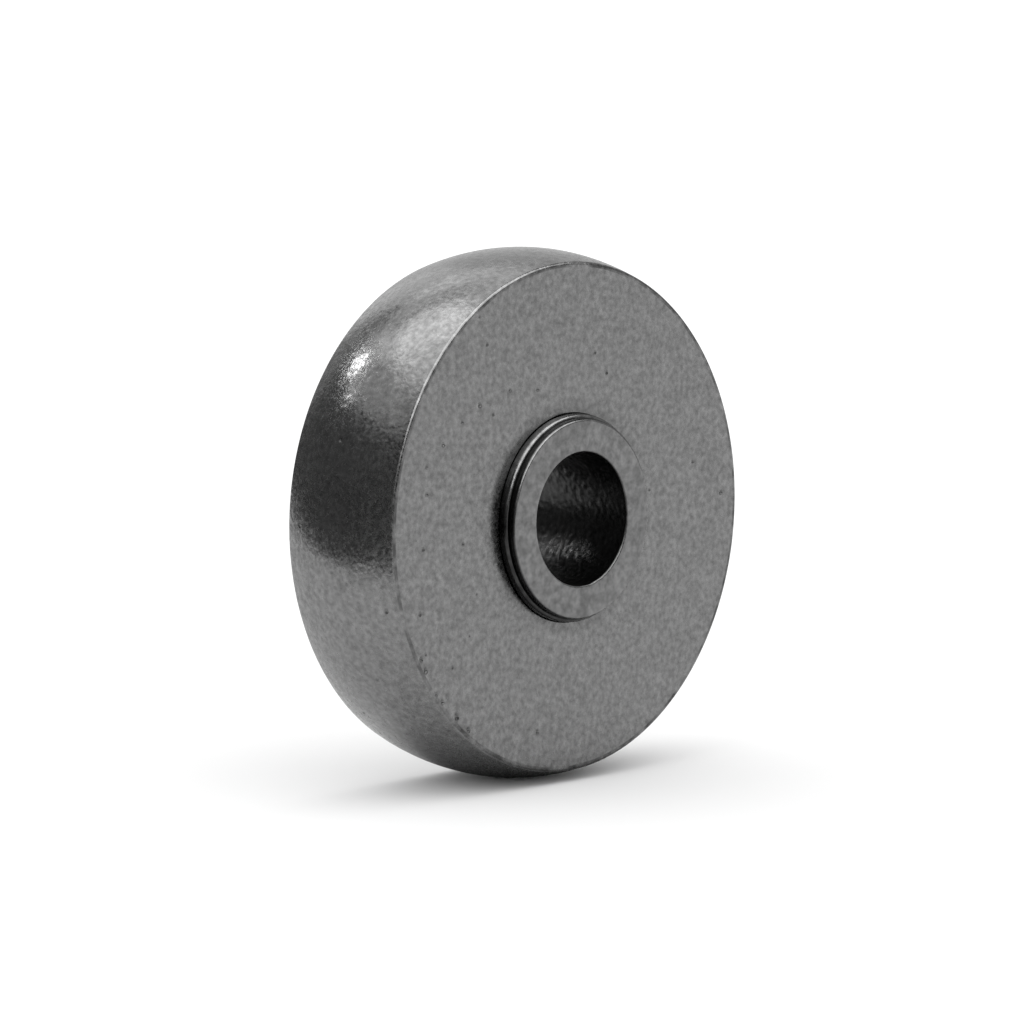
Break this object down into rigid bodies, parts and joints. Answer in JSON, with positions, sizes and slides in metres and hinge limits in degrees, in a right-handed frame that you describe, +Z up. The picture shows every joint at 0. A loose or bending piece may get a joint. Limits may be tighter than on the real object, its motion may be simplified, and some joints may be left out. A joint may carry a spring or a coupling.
{
  "type": "seam roller wheel",
  "caption": "Crowned metal roller with flat faces that turns on a stepped hub sleeve standing proud of both sides.",
  "frame": {"origin": "centre of the wheel, on its axle line and in its mid-plane", "axes": "+Y along the axle towards the rear face, so the front face looks along -Y; +Z up"},
  "size_m": [0.032, 0.0104, 0.032],
  "materials": {
    "tumbled_metal": "fine-grained satin grey metal, tumbled, with small pits",
    "bush_metal": "satin grey metal with a lightly worn end face"
  },
  "bodies": {
    "hub": {"hub_sleeve": "bush_metal"},
    "wheel": {"roller": "tumbled_metal"}
  },
  "joints": [
    {"name": "roller_spin", "type": "hinge", "parent": "hub", "child": "wheel", "pos_m": [0, 0, 0], "axis": [0, 1, 0], "continuous": true}
  ]
}
